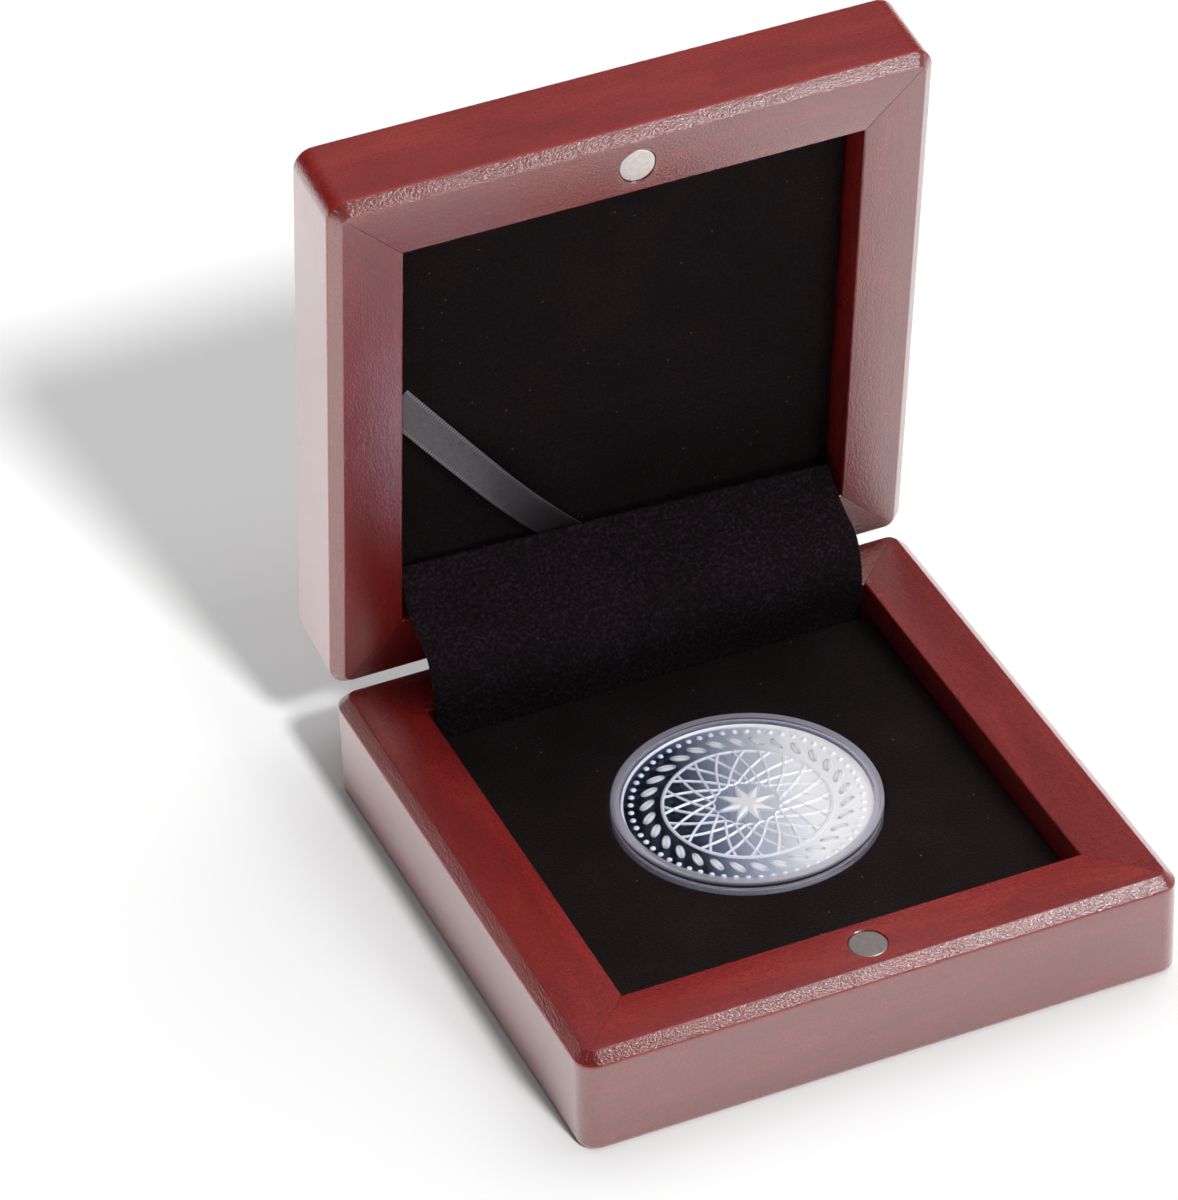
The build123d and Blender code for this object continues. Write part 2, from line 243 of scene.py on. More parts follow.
mahogany = {
    "streak": (0.05, 0.22, 0.22),  # streaks about 20 mm long and 5 mm wide
    "fibre": (0.3, 2.0, 2.0),  # fibres about 3 mm long and 0.5 mm wide
    "pore": (2.6, 4.0, 4.0),  # pores about 0.4 mm long and 0.25 mm wide
    "wander": 0.3,  # how much the grain strays sideways
    "streakShare": 0.55,
    "fibreShare": 0.2,
    "poreShare": 0.7,
    "stainSpread": 0.3,  # how far the summed noise strays from its middle at the ends of the ramp
    "stain": {0.0: "#7e1613", 0.5: "#921c19", 1.0: "#b2332b"},
    # Colour for darker boards, also painted shade on the rails along the hinge
    "darkBoardAndShade": "#3c1012",
    # Colour of the painted shade line under the bevel
    "arris": "#ad1f19",
    "roughness": 0.24,
    "bevelRoughness": 0.28,
    "poreDepth": 0.07 * mm,
    "bevelPoreDepth": 0.12 * mm,
    "fibreRelief": 0.4,  # relief of the fibres as a share of that of the pores
    "specular": 1.0,
    "coat": 1.0,
    "arrisShadeCoat": 0.1,
    "coatRoughness": 0.22,
    "coatIor": 1.7,
}
railMaterial = lacqueredMahogany("lacqueredMahogany", mahogany)
panelMaterial = lacqueredMahogany("lacqueredVeneer", {**mahogany, "streak": (0.02, 0.15, 0.15)})


def cutVelvet(name, look):
    # Short cut pile, black with a violet cast: almost no gloss face on, a soft sheen at a slant, tufts that lean
    # in patches and a few specks of lint
    material, tree = newMaterial(name)
    place = objectPlace(tree)
    tufts = noiseAt(tree, place, 1 / look["tuft"])
    patches = noiseAt(tree, place, 1 / look["patch"], 2.0)
    lint = addNode(tree, "ShaderNodeTexVoronoi", {"Vector": place, "Scale": 1 / look["lintSpacing"]})
    speck = mapRange(tree, lint.outputs["Distance"], look["lintSize"] / look["lintSpacing"], 0.0)
    blend = doMath(tree, "MULTIPLY_ADD", patches, look["patchShare"], tufts)
    middle = 0.5 + 0.5 * look["patchShare"]
    pile = colourRamp(tree, mapRange(tree, blend, middle - look["spread"], middle + look["spread"]), look["pile"])
    surface(tree, {
        "Base Color": mixColours(tree, speck, pile, look["lint"]),
        "Roughness": 0.95,
        "Specular IOR Level": 0.15,
        "Sheen Weight": look["sheen"],
        "Sheen Roughness": 0.35,
        "Sheen Tint": hexColour(look["sheenTint"]),
        "Normal": bumpOf(tree, tufts, look["tuftStrength"], look["tuftDepth"]),
    })
    return material


velvet = {
    "tuft": 0.4 * mm,
    "tuftDepth": 0.25 * mm,
    "tuftStrength": 0.8,
    "patch": 12 * mm,
    "patchShare": 0.5,
    "spread": 0.3,  # how far the summed noise strays from its middle at the ends of the ramp
    "lintSpacing": 3.2 * mm,
    "lintSize": 0.2 * mm,
    "pile": {0.0: "#0e0808", 0.5: "#190f10", 1.0: "#271b1d"},
    "lint": "#6a626c",
    "sheen": 0.05,
    "sheenTint": "#8d7f96",
}
velvetMaterial = cutVelvet("cutVelvet", velvet)
# The same velvet on the flap: coarser tufts and a lighter pile with a stronger violet cast, which paints highlights
# on the tufts where the flap bends
bentVelvetHighlitMaterial = cutVelvet(
    "bentCutVelvet",
    {**velvet, "tuft": 0.5 * mm, "patchShare": 0.25, "pile": {0.0: "#10090a", 0.5: "#22171b", 1.0: "#433648"},
     "sheen": 0.08},
)


def wovenSatin(look):
    # Polyester satin ribbon: a smooth warp face that shines in a band across the run, ribbed edges.
    # The UV map runs in millimetres along and across the ribbon. Along it the colour is painted darker towards the
    # tucked end, painted shade and a fading painted sheen.
    material, tree = newMaterial("wovenSatin")
    place = addNode(tree, "ShaderNodeUVMap", uv_map="weave").outputs[0]
    along, across = addNode(tree, "ShaderNodeSeparateXYZ", {0: place}).outputs[:2]
    warp = noiseAt(tree, stretched(tree, place, look["warpScale"]), 1.0)
    # Selvedge: a row of bright loops, one to each wave of a sine; they are also a painted highlight, standing in
    # for the glint along the ribbon's edges
    edge = mapRange(tree, doMath(tree, "ABSOLUTE", across), *look["selvedge"])
    beat = doMath(tree, "SINE", doMath(tree, "MULTIPLY", along, look["loops"]))
    loop = doMath(tree, "MULTIPLY", beat, edge, clamp=True)
    colour = mixColours(tree, loop, colourRamp(tree, warp, look["yarn"]), look["loopYarnAndGlint"])
    surface(tree, {
        # Painted shade: the yarn colour darkens along the run
        "Base Color": mixColours(tree, mapRange(tree, along, 0.0, look["fade"]), colour, look["shadedYarnEnd"]),
        "Roughness": 0.42,
        "Specular IOR Level": 0.6,
        "Anisotropic": 0.4,
        "Sheen Weight": 0.2,
        "Sheen Roughness": 0.4,
        "Normal": bumpOf(tree, warp, look["warpStrength"], look["warpDepth"]),
    })
    return material


satinMaterial = wovenSatin({
    "warpScale": (0.8, 9.0, 1.0),
    "warpDepth": 0.05 * mm,
    "warpStrength": 0.3,
    "yarn": {0.3: "#5d585c", 0.5: "#746d71", 0.7: "#8a8387"},
    "shadedYarnEnd": "#100e10",
    "fade": 42.0,  # millimetres along the run until the painted shade is full
    "loopYarnAndGlint": "#c9c4c6",
    "selvedge": (1.9, 2.1),  # millimetres from the middle where it starts and is full
    "loops": 12.0,  # radians of the sine to the millimetre
})


noiseSpan = (0.3, 0.7)  # most of a noise lies between these
metalRelief = {"strength": 0.25, "distance": 0.02 * mm}


def metal(name, look):
    # A plain metal face: fine scratches or matt plating as variation in roughness and a shallow bump
    material, tree = newMaterial(name)
    scratch = noiseAt(tree, stretched(tree, objectPlace(tree), look["scratchScale"]), 1 / mm)
    surface(tree, {
        "Base Color": colourRamp(tree, scratch, look["tones"]),
        "Metallic": 1.0,
        "Roughness": mapRange(tree, scratch, *noiseSpan, *look["roughness"]),
        "Normal": bumpOf(tree, scratch, **metalRelief),
    })
    return material


# Nickel plate on a stock disc magnet: warm grey and matt, with faint scratches
nickelMaterial = metal("mattNickelPlate", {
    "scratchScale": (1.5, 4.0, 2.0), "roughness": (0.42, 0.58), "tones": {0.35: "#cfc8c6", 0.65: "#e2dcd6"},
})
# Rolled and stamped brass: yellow, with drawn lines along the hinge
brassMaterial = metal("rolledBrass", {
    "scratchScale": (0.2, 4.0, 4.0), "roughness": (0.24, 0.4), "tones": {0.35: "#b08d4c", 0.65: "#d1b068"},
})


def struckSilver(look):
    # Proof-struck silver with frosted raised work. A frosted face scatters light as white paint does, so it counts
    # as only part metal. "frost" is 1 on the raised work and 0 on the field. "foot" is 1 where a raised shape
    # starts, and there painted shade darkens its outline, standing in for the shadow at the relief's foot. A third
    # attribute runs from 0 to 1 across the coin and paints light: the field goes from a bluish polished metal, a
    # painted dark reflection, to a near-white, hardly metal satin, a painted sheen, as its roughness rises.
    material, tree = newMaterial("struckSilver")
    frost, satin, foot = (readAttribute(tree, key) for key in ("frost", "satin", "foot"))
    grain = noiseAt(tree, objectPlace(tree), 1 / look["frostGrain"], 2.0)
    inputs = {"Normal": bumpOf(tree, grain, **metalRelief)}
    for socket, key, mix in (("Roughness", "roughness", mixValues), ("Metallic", "metallic", mixValues),
                             ("Base Color", "tone", mixColours)):
        polished, dull, raised = look[key]
        inputs[socket] = mix(tree, frost, mix(tree, satin, polished, dull), raised)
    # Painted shade: the foot of each raised shape is darkened into an outline
    inputs["Base Color"] = mixColours(tree, foot, inputs["Base Color"], look["foot"])
    surface(tree, inputs)
    return material


# Roughness, metallic and tone are given for the polished field, the satin field and the frosted work. The polished
# field's blue tone is a painted dark reflection, and the satin field's near white, barely metal, a painted sheen.
silverMaterial = struckSilver({
    "roughness": (0.1, 0.5, 0.6),
    "metallic": (1.0, 0.2, 0.35),
    "tone": ("#9fb4da", "#fafaf8", "#f0f0ee"),
    # Colour of the painted shade round the foot of the relief
    "foot": "#3f434c",
    "frostGrain": 0.12 * mm,
})


def castAcrylic(look):
    # Clear acrylic, moulded: polished windows that bend light at 1.49, and a rough lilac grey outer ring that is
    # painted reflection, standing in for the light the clear capsule's rim and wall catch. "ring" is 1 on that
    # part. Lamps pass straight through, as through a thin clear cover.
    material, tree = newMaterial("castAcrylic")
    tint = hexColour(look["tint"])
    clear, ringSheen = (addNode(tree, "ShaderNodeBsdfPrincipled", {"IOR": 1.49, **inputs}) for inputs in (
        {"Base Color": tint, "Roughness": look["roughness"], "Transmission Weight": 1.0},
        {"Base Color": hexColour(look["ring"]), "Roughness": look["ringRoughness"]},
    ))
    share = doMath(tree, "MULTIPLY", readAttribute(tree, "ring"), look["ringShare"])
    body = addNode(tree, "ShaderNodeMixShader", {0: share, 1: clear.outputs[0], 2: ringSheen.outputs[0]})
    passing = addNode(tree, "ShaderNodeBsdfTransparent", {"Color": tint})
    shadow = addNode(tree, "ShaderNodeLightPath").outputs["Is Shadow Ray"]
    endMaterial(tree, addNode(tree, "ShaderNodeMixShader", {0: shadow, 1: body.outputs[0], 2: passing.outputs[0]}))
    return material


acrylicMaterial = castAcrylic({
    "tint": "#fafafd", "roughness": 0.03, "ring": "#adabb8", "ringRoughness": 0.45, "ringShare": 0.65,
})


mattRelief = {"strength": 0.7, "share": 0.3}  # the share is of the grain's size


def matt(name, look):
    # A matt fibrous stuff: mottled colour and a bump of its own grain size
    material, tree = newMaterial(name)
    grain = noiseAt(tree, objectPlace(tree), 1 / look["grain"], 4.0)
    surface(tree, {
        "Base Color": colourRamp(tree, grain, look["tones"]),
        "Roughness": 0.95,
        "Specular IOR Level": 0.2,
        "Normal": bumpOf(tree, grain, mattRelief["strength"], mattRelief["share"] * look["grain"]),
    })
    return material


feltMaterial = matt("needledFelt", {"grain": 0.5 * mm, "tones": {0.3: "#0f0e10", 0.7: "#211f23"}})
plyMaterial = matt("stainedPlywood", {"grain": 0.8 * mm, "tones": {0.3: "#4c1412", 0.7: "#6f1f1b"}})
boardMaterial = matt("pressedFibreboard", {"grain": 0.7 * mm, "tones": {0.3: "#6b5138", 0.7: "#93754f"}})
foamMaterial = matt("softFoam", {"grain": 0.4 * mm, "tones": {0.3: "#4b4b4d", 0.7: "#67676a"}})


def gridFaces(rows, columns, wrapRows=False, wrapColumns=False):
    # Quads of a grid of points kept row by row: each joins a point to its neighbours in row and column
    i = np.arange(rows if wrapRows else rows - 1)[:, None]
    j = np.arange(columns if wrapColumns else columns - 1)[None, :]
    nextI, nextJ = (i + 1) % rows, (j + 1) % columns
    corners = [i * columns + j, i * columns + nextJ, nextI * columns + nextJ, nextI * columns + j]
    return np.stack(corners, -1).reshape(-1, 4).tolist()


weld = 0.0005 * mm  # points nearer than this become one


def newPiece(name, points, faces, closed=True):
    # Mesh object from points and faces; doubles are merged and a closed shell's faces turned outwards
    mesh = bpy.data.meshes.new(name)
    mesh.from_pydata(np.asarray(points).reshape(-1, 3).tolist(), [], faces)
    work = bmesh.new()
    work.from_mesh(mesh)
    bmesh.ops.remove_doubles(work, verts=work.verts, dist=weld)
    if closed:
        bmesh.ops.recalc_face_normals(work, faces=work.faces)
    work.to_mesh(mesh)
    work.free()
    piece = bpy.data.objects.new(name, mesh)
    bpy.context.scene.collection.objects.link(piece)
    return piece


def setAttribute(piece, name, values):
    # A float, or a vector of three floats, at each point
    kind, key = ("FLOAT", "value") if values.ndim == 1 else ("FLOAT_VECTOR", "vector")
    attribute = piece.data.attributes.new(name, kind, "POINT")
    attribute.data.foreach_set(key, values.astype(np.float32).ravel())


def dress(piece, material, node, sharpAngle=35):
    # Smooth shading that breaks at sharp edges and the material; the CAD node that the piece stands for is hidden
    piece.data.materials.clear()
    piece.data.materials.append(material)
    piece.data.shade_smooth()
    piece.data.set_sharp_from_angle(angle=math.radians(sharpAngle))
    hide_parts(node)
    return piece


def arc(centre, radius, start, end, count):
    # Points centre + radius (cos a, sin a), with a from start to end in degrees
    a = np.radians(np.linspace(start, end, count))
    return np.stack([centre[0] + radius * np.cos(a), centre[1] + radius * np.sin(a)], -1)


def lathe(name, profile, centre, count):
    # Profile of (radius, height) pairs turned about a vertical axis: x = r cos a, y = r sin a. An end on the axis
    # becomes one point with a fan.
    a = np.linspace(0, 2 * math.pi, count, endpoint=False)
    radius, height = profile[:, :1], profile[:, 1:]
    ring = np.stack([radius * np.cos(a), radius * np.sin(a), height + 0 * a], -1) + np.array([*centre, 0])
    return newPiece(name, ring, gridFaces(len(profile), count, wrapColumns=True))


def carve(piece, cutters):
    # Cuts the tools away from a piece and settles the result in its mesh
    for cutter in cutters:
        cut = piece.modifiers.new("cut", "BOOLEAN")
        cut.operation, cut.solver, cut.object = "DIFFERENCE", "EXACT", cutter
    settled = bpy.data.meshes.new_from_object(piece.evaluated_get(bpy.context.evaluated_depsgraph_get()))
    piece.modifiers.clear()
    piece.data = settled
    for cutter in cutters:
        bpy.data.objects.remove(cutter)


def boxTool(name, low, high):
    # Eight corners of a box, as a grid of two rings with both ends closed
    x, y, z = zip(low, high)
    ring = np.array([(x[0], y[0]), (x[1], y[0]), (x[1], y[1]), (x[0], y[1])])
    points = np.concatenate([np.c_[ring, np.full(4, z[k])] for k in (0, 1)])
    return newPiece(name, points, gridFaces(2, 4, wrapColumns=True) + [[3, 2, 1, 0], [4, 5, 6, 7]])


def openPiece(piece):
    # Moves a piece that was worked out with the lid shut to where it is with the lid open
    piece.data.vertices.foreach_set("co", turnLid(meshPoints(piece), -openAngle).ravel())
    piece.data.update()
    return piece


print("rails")

rail = {
    "wide": case["half"] - case["well"],
    "cornerRound": 3.0 * mm,
    "footRound": 1.0 * mm,
    "bevel": 1.6 * mm,
    "bevelArc": 0.4 * mm,
    "nearBevel": 0.1 * mm,  # how far past the bevel its points may lie
    # Painted shade line under the bevel
    "arris": (-0.1 * mm, 0.2 * mm),  # where the red line is full, measured from the foot of the bevel
    "arrisShadeInward": 0.12 * mm,
    "arrisFade": 0.4 * mm,
    "innerArc": 0.28 * mm,
    "rebate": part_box("base_panel")[1][0] - case["well"] + 0.1 * mm,
    "footArc": 0.15 * mm,
    "lip": {"base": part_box("base_panel")[1][2], "lid": case["lidTop"] - shutBox("lid_panel")[0][2]},
    "squareEnd": 2.4 * mm,  # stretch before a sharp mitre that takes the corner's stations
    "mitreLip": 0.03,  # share of the last stretch taken by the groove at a mitre
    "mitreDepth": 0.06 * mm,
    "boardStep": np.array([170.0, 60.0, 35.0]),  # millimetres between the boards' places in the grain
    "cornerStations": 8,
    "straightStations": 12,
}


def railSection(height, lip):
    # Section as (inward, deep) pairs: inner edge, rim, 45 degree bevel between two arcs, wall, rounded foot,
    # underside, rebate for the panel. An arc of radius p at a 45 degree turn starts p tan 22.5 before the corner.
    wide, bevel, soft, inner = rail["wide"], rail["bevel"], rail["bevelArc"], rail["innerArc"]
    foot, rebate = rail["footRound"], rail["wide"] - rail["rebate"]
    run = soft * math.tan(math.radians(22.5))
    return np.concatenate([
        arc((wide - inner, inner), inner, 0, -90, 5),
        arc((bevel + run, soft), soft, -90, -135, 6),
        arc((soft, bevel + run), soft, -135, -180, 6),
        [(0, bevel + run + rail["arrisFade"])],
        arc((foot, height - foot), foot, 180, 90, 12),
        arc((rebate - rail["footArc"], height - rail["footArc"]), rail["footArc"], 90, 0, 4),
        [(rebate, height - lip), (wide, height - lip)],
    ])


def sectionNormals(section):
    # Outward normal at each point of a closed section: the chord of its neighbours, turned a quarter
    chord = np.roll(section, -1, 0) - np.roll(section, 1, 0)
    normal = np.stack([-chord[:, 1], chord[:, 0]], -1)
    return normal / np.linalg.norm(normal, axis=1, keepdims=True)


def railPath(section, share):
    # Section points carried along one side. Share 0 is mid-side, 1 the end of the straight and 2 the mitre. A point
    # outside the corner round ends in an eighth of a circle of radius cornerRound - inward; one inside it runs on
    # straight to the mitre.
    half, corner = case["half"], rail["cornerRound"]
    inward, deep = section[:, :1], section[:, 1:]
    straightShare, bend = np.minimum(np.abs(share), 1), np.maximum(np.abs(share) - 1, 0) * math.pi / 4
    curved = inward < corner
    radius = np.where(curved, corner - inward, 0)
    straight = half - np.where(curved, corner, inward + rail["squareEnd"])
    ending = np.where(curved, radius * np.sin(bend), rail["squareEnd"] * bend / (math.pi / 4))
    x = np.sign(share) * (straightShare * straight + ending)
    y = np.where(curved, corner - half - radius * np.cos(bend), inward - half)
    return np.stack([x, y, deep + 0 * x], -1)


def railGrid(section):
    # All stations from mitre to mitre; the last one at each end dips where it faces up, so that two rims meet in a
    # fine groove
    corner = np.linspace(1, 2 - rail["mitreLip"], rail["cornerStations"])
    straight = np.linspace(-1, 1, rail["straightStations"])
    share = np.concatenate([-corner[:0:-1], straight, corner[1:]])
    normals = sectionNormals(section)
    dipped = section - rail["mitreDepth"] * np.clip(-normals[:, 1:], 0, 1) * normals
    return np.concatenate(
        [railPath(dipped, np.array([-2.0])), railPath(section, share), railPath(dipped, np.array([2.0]))], 1
    )


def turnSide(points, side, way=1):
    # Quarter turns about the case's middle carry the front side to the others, or back where way is -1
    a = way * math.radians(sideTurns[side])
    x, y = points[..., 0], points[..., 1]
    return np.stack([x * math.cos(a) - y * math.sin(a), x * math.sin(a) + y * math.cos(a), points[..., 2]], -1)


def inwardOf(board):
    # Distance in from the outer wall: y, or within the corner round its radius less the distance from its centre
    corner = rail["cornerRound"]
    past, back = np.abs(board[:, 0]) - (case["half"] - corner), corner - board[:, 1]
    return np.where((past > 0) & (back > 0), corner - np.hypot(past, back), board[:, 1])


seat = {
    "magnetFit": 0.08 * mm,
    "magnetFloor": 0.1 * mm,
    "flare": 0.12 * mm,
    "leafFit": 0.1 * mm,
    "leafDepth": 0.55 * mm,
    "barrelRadius": 1.1 * mm,
    "barrelSides": 40,
    "past": 1 * mm,  # how far a tool reaches out of the wood
}


def magnetTool(half):
    # Round hole for a magnet in a front rail, flared a little at the rim
    low, high = halfBox(half, "{}_magnet")
    rim, into = halves[half]["rim"], halves[half]["into"]
    radius, middle = roundFit(low, high)
    radius, depth, flare = radius + seat["magnetFit"], high[2] - low[2] + seat["magnetFloor"], seat["flare"]
    outside, bottom = rim - into * seat["past"], rim + into * depth
    profile = np.array([
        (0, outside), (radius + flare, outside), (radius + flare, rim), (radius, rim + into * flare),
        (radius, bottom), (0, bottom),
    ])
    return lathe("magnetTool", profile, middle, 64)


def leafTool(half):
    # Seat for a hinge leaf in a rear rail, open to the rear
    low, high = halfBox(half, "hinge_{}_leaf")
    rim, into = halves[half]["rim"], halves[half]["into"]
    fit, back = seat["leafFit"], case["half"] + seat["past"]
    ends = sorted([rim - into * seat["past"], rim + into * seat["leafDepth"]])
    return boxTool("leafTool", (low[0] - fit, low[1] - fit, ends[0]), (high[0] + fit, back, ends[1]))


def barrelTool():
    # Groove for the hinge's knuckles in the lid's rear rail: a cylinder along the pin
    sides, radius = seat["barrelSides"], seat["barrelRadius"]
    a = np.linspace(0, 2 * math.pi, sides, endpoint=False)
    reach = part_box("hinge_pin")[1][0] + seat["leafFit"]
    ring = np.stack([0 * a, pivot[1] + radius * np.cos(a), pivot[2] + radius * np.sin(a)], -1)
    points = np.stack([ring + [-reach, 0, 0], ring + [reach, 0, 0]])
    ends = [list(range(sides))[::-1], list(range(sides, 2 * sides))]
    return newPiece("barrelTool", points, gridFaces(2, sides, wrapColumns=True) + ends)


tools = {
    "base_front_rail": lambda: [magnetTool("base")],
    "base_rear_rail": lambda: [leafTool("base")],
    "lid_front_rail": lambda: [magnetTool("lid")],
    "lid_rear_rail": lambda: [leafTool("lid"), barrelTool()],
}
# Share of the darker colour in each board: partly boards that took more stain, partly painted shade, most on the
# rails along the hinge that the open lid shades
boardToneAndShade = {"base_left_rail": 0.15, "base_right_rail": 0.2, "base_rear_rail": 0.3, "lid_rear_rail": 0.3}


def buildRail(half, side, number):
    # One mitred rail: its section carried along the side, ends closed, then its seats cut
    rim, into, height = (halves[half][key] for key in ("rim", "into", "height"))
    grid = railGrid(railSection(height, rail["lip"][half]))
    grid[..., 2] = rim + into * grid[..., 2]
    rows, columns = grid.shape[:2]
    ends = [[row * columns + column for row in range(rows)] for column in (0, columns - 1)]
    name = f"{half}_{side}_rail"
    piece = newPiece(f"{name}_wood", turnSide(grid, side), gridFaces(rows, columns, wrapRows=True) + ends)
    if name in tools:
        carve(piece, tools[name]())
    board = turnSide(meshPoints(piece), side, -1)
    board[:, 1] += case["half"]
    setAttribute(piece, "timber", board / mm + rail["boardStep"] * number)
    setAttribute(piece, "tone", np.full(len(board), boardToneAndShade.get(name, 0.0)))
    inward, past = inwardOf(board), np.abs(board[:, 2] - rim) - rail["bevel"]
    onBevel = (inward < rail["bevel"] + rail["nearBevel"]) & (past < rail["nearBevel"])
    # Mask of the painted shade line under the bevel
    onArrisShade = (inward < rail["arrisShadeInward"]) & (past > rail["arris"][0]) & (past < rail["arris"][1])
    setAttribute(piece, "bevel", onBevel.astype(float))
    setAttribute(piece, "arris", onArrisShade.astype(float))
    if half == "lid":
        openPiece(piece)
    dress(piece, railMaterial, name)
    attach(piece, half)


for number, (half, side) in enumerate([(half, side) for half in halves for side in sideTurns]):
    buildRail(half, side, number)


print("panels and felt")


def squarePlate(name, half, profile):
    # Plate with soft edges: (inset, height) pairs carried round a square, both faces closed
    inset, height = profile[:, :1], profile[:, 1:]
    signs = np.array([(-1, -1), (1, -1), (1, 1), (-1, 1)])
    points = np.stack([signs[:, 0] * (half - inset), signs[:, 1] * (half - inset), height + 0 * signs[:, 0]], -1)
    last = 4 * (len(profile) - 1)
    faces = gridFaces(len(profile), 4, wrapColumns=True) + [[3, 2, 1, 0], [last, last + 1, last + 2, last + 3]]
    return newPiece(name, points, faces)


def plateProfile(low, high, edge):
    # Straight side between two quarter rounds of radius edge
    return np.concatenate([arc((edge, high - edge), edge, 90, 180, 5), arc((edge, low + edge), edge, 180, 270, 5)])


panel = {"edge": 0.25 * mm, "recess": 0.02 * mm, "boardOffset": 900}
low, high = shutBox("lid_panel")
lidPanel = squarePlate("lid_panel_veneer", high[0], plateProfile(low[2], high[2] - panel["recess"], panel["edge"]))
setAttribute(lidPanel, "timber", meshPoints(lidPanel) / mm + panel["boardOffset"])
openPiece(lidPanel)
dress(lidPanel, panelMaterial, "lid_panel")
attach(lidPanel, "lid")

felt = {"edge": 0.3 * mm}
low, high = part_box("base_felt")
feltSheet = squarePlate("base_felt_sheet", high[0], plateProfile(low[2], high[2], felt["edge"]))
dress(feltSheet, feltMaterial, "base_felt")
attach(feltSheet, "base")


print("velvet")


def squareRadius(a, halfX, halfY, power=80):
    # Distance from the middle to the edge of a rectangle with slightly rounded corners, along angle a:
    # 1 over the power-th root of (|cos a| / halfX) ^ power + (|sin a| / halfY) ^ power
    u, v = np.abs(np.cos(a)) / halfX, np.abs(np.sin(a)) / halfY
    big, small = np.maximum(u, v), np.minimum(u, v)
    return 1 / (big * (1 + (small / big) ** power) ** (1 / power))


def ripple(x, y, height, length):
    # Slow unevenness of glued cloth: three crossing sine waves
    k = 2 * math.pi / length
    waves = np.sin(k * (x + 0.4 * y)) + np.sin(k * (0.83 * y - 0.3 * x) + 1.7) + np.sin(1.37 * k * (x - y) + 4.1)
    return height * waves / 3


def buildInsert():
    # Velvet over a board with a round recess. Rings run from the middle of the recess floor, up its wall, over the
    # lip, out over the top from a circle to a rectangle, round the edge and down the side.
    look = {
        "cove": 0.5 * mm,
        "lip": 0.8 * mm,
        "edge": 0.9 * mm,
        "recessFit": 0.3 * mm,
        "floorGap": 0.01 * mm,
        "backing": 0.45 * mm,
        "ripple": (0.06 * mm, 23 * mm),  # height and length
        "across": 512,
        "floorRings": 7,
        "topRings": 36,
    }
    low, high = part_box("insert_velvet")
    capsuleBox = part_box("capsule_lower_shell")
    recess, recessMiddle = roundFit(*capsuleBox)
    recess, boardMiddle = recess + look["recessFit"], roundFit(low, high)[1]
    floor, top, foot = capsuleBox[0][2] - look["floorGap"], high[2], low[2]
    cove, lip, edge, floorRings = (look[key] for key in ("cove", "lip", "edge", "floorRings"))
    a = np.linspace(0, 2 * math.pi, look["across"], endpoint=False)
    spoke = np.stack([np.cos(a), np.sin(a)], -1)
    inner = np.concatenate([
        np.stack([np.linspace(0, recess - cove, floorRings + 1)[:-1], np.full(floorRings, floor)], -1),
        arc((recess - cove, floor + cove), cove, -90, 0, 6),
        arc((recess + lip, top - lip), lip, 180, 90, 8),
    ])
    circle = recessMiddle + inner[:, 0, None, None] * spoke
    halfX, halfY = (high[0] - low[0]) / 2 - edge, (high[1] - low[1]) / 2 - edge
    lipCircle = recessMiddle + (recess + lip) * spoke
    reach = squareRadius(a, halfX, halfY)[:, None] * spoke
    share = np.linspace(0, 1, look["topRings"])[1:, None, None]
    spread = lipCircle * (1 - share) + (boardMiddle + reach) * share
    outer = np.concatenate([arc((0, top - edge), edge, 90, 0, 8)[1:], [(edge, foot)]])
    rim = boardMiddle + reach * (1 + outer[:, 0, None, None] / min(halfX, halfY))
    plan = np.concatenate([circle, spread, rim])
    height = np.concatenate([inner[:, 1], np.full(len(spread), top), outer[:, 1]])[:, None] + 0 * a
    fade = np.concatenate([np.zeros(len(inner)), np.sin(math.pi * share[:, 0, 0]) ** 0.5, np.zeros(len(outer))])
    height = height - fade[:, None] * np.abs(ripple(plan[..., 0], plan[..., 1], *look["ripple"]))
    grid = np.concatenate([plan, height[..., None]], -1)
    piece = newPiece("insert_velvet_cover", grid, gridFaces(len(grid), len(a), wrapColumns=True), closed=False)
    backing = piece.modifiers.new("backing", "SOLIDIFY")
    backing.thickness, backing.offset = look["backing"], 0
    return dress(piece, velvetMaterial, "insert_velvet", 60)


insertVelvet = buildInsert()
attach(insertVelvet, "base")


